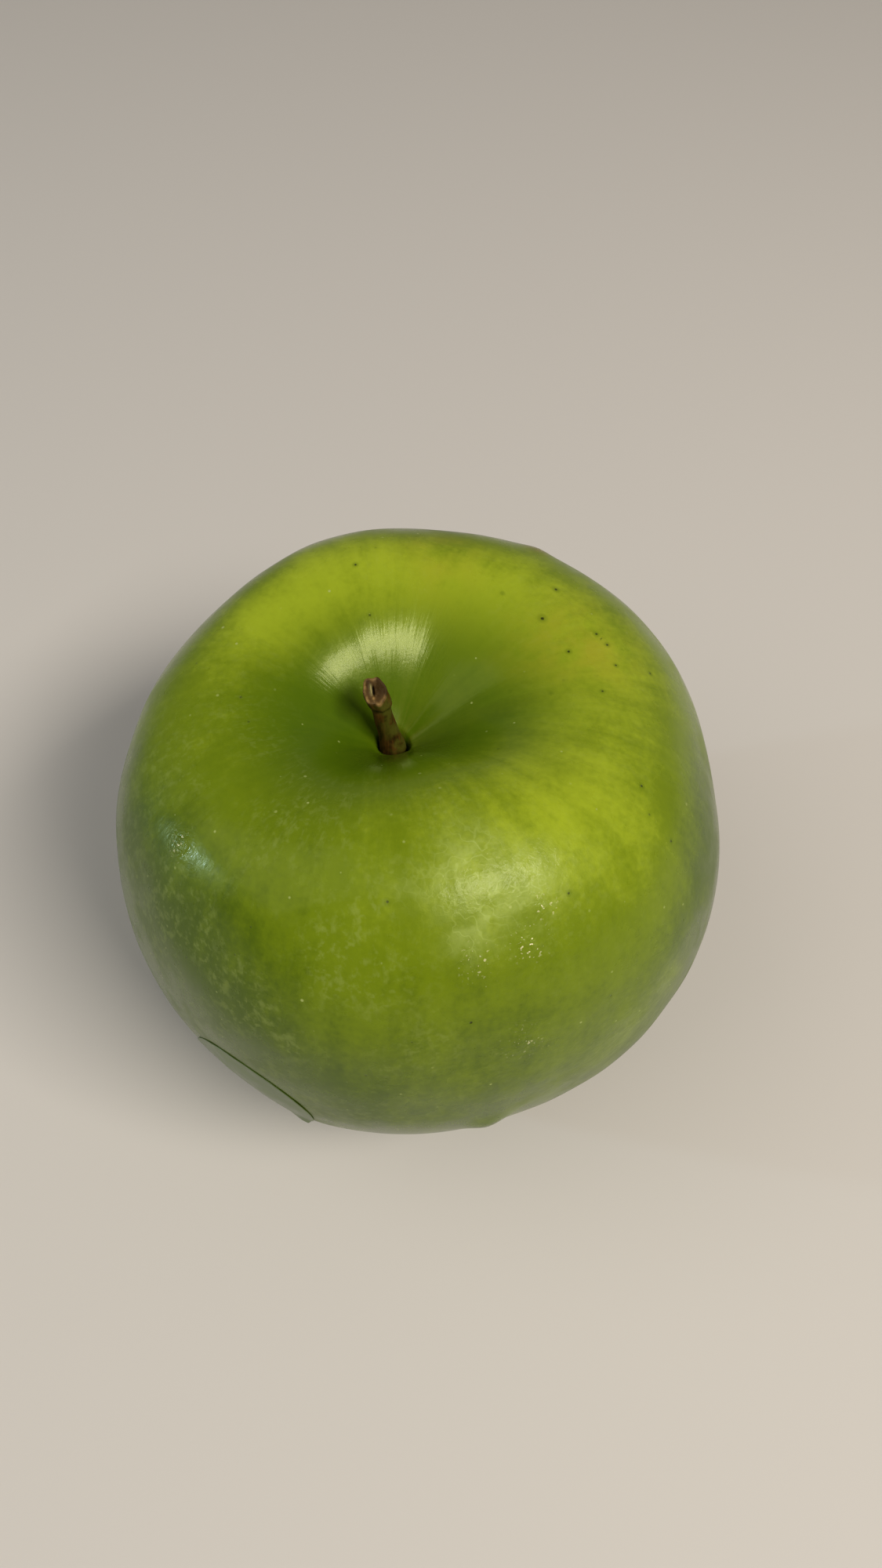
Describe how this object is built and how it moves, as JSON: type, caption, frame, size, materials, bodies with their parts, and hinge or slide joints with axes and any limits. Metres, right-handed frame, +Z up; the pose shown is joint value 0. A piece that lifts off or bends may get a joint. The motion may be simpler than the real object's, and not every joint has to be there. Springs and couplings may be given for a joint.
{
  "type": "green apple",
  "caption": "Fresh green apple with a deep stem cavity, a short cut woody stem, a dried calyx underneath and a plain round label stuck on its side.",
  "frame": {"origin": "on the plane that the apple stands on, under the middle of the fruit", "axes": "+Z up through the stem; -Y is the front; the label is on the front left, towards -X and -Y"},
  "size_m": [0.0797, 0.0801, 0.0663],
  "materials": {
    "apple_skin": "waxed apple skin, smooth and glossy, yellow-green with pale lenticels",
    "stem_wood": "dry brown stalk with a paler, fibrous cut end",
    "dried_sepal": "dried, brown, downy leaf",
    "dried_stamens": "dried dark brown threads",
    "label_film": "plain thin green film, satin, nothing printed on it"
  },
  "bodies": {
    "root": {"fruit_body": "apple_skin", "stem": "stem_wood", "sepal_1": "dried_sepal", "sepal_2": "dried_sepal", "sepal_3": "dried_sepal", "sepal_4": "dried_sepal", "sepal_5": "dried_sepal", "stamen_tuft": "dried_stamens", "skin_label": "label_film"}
  },
  "joints": []
}
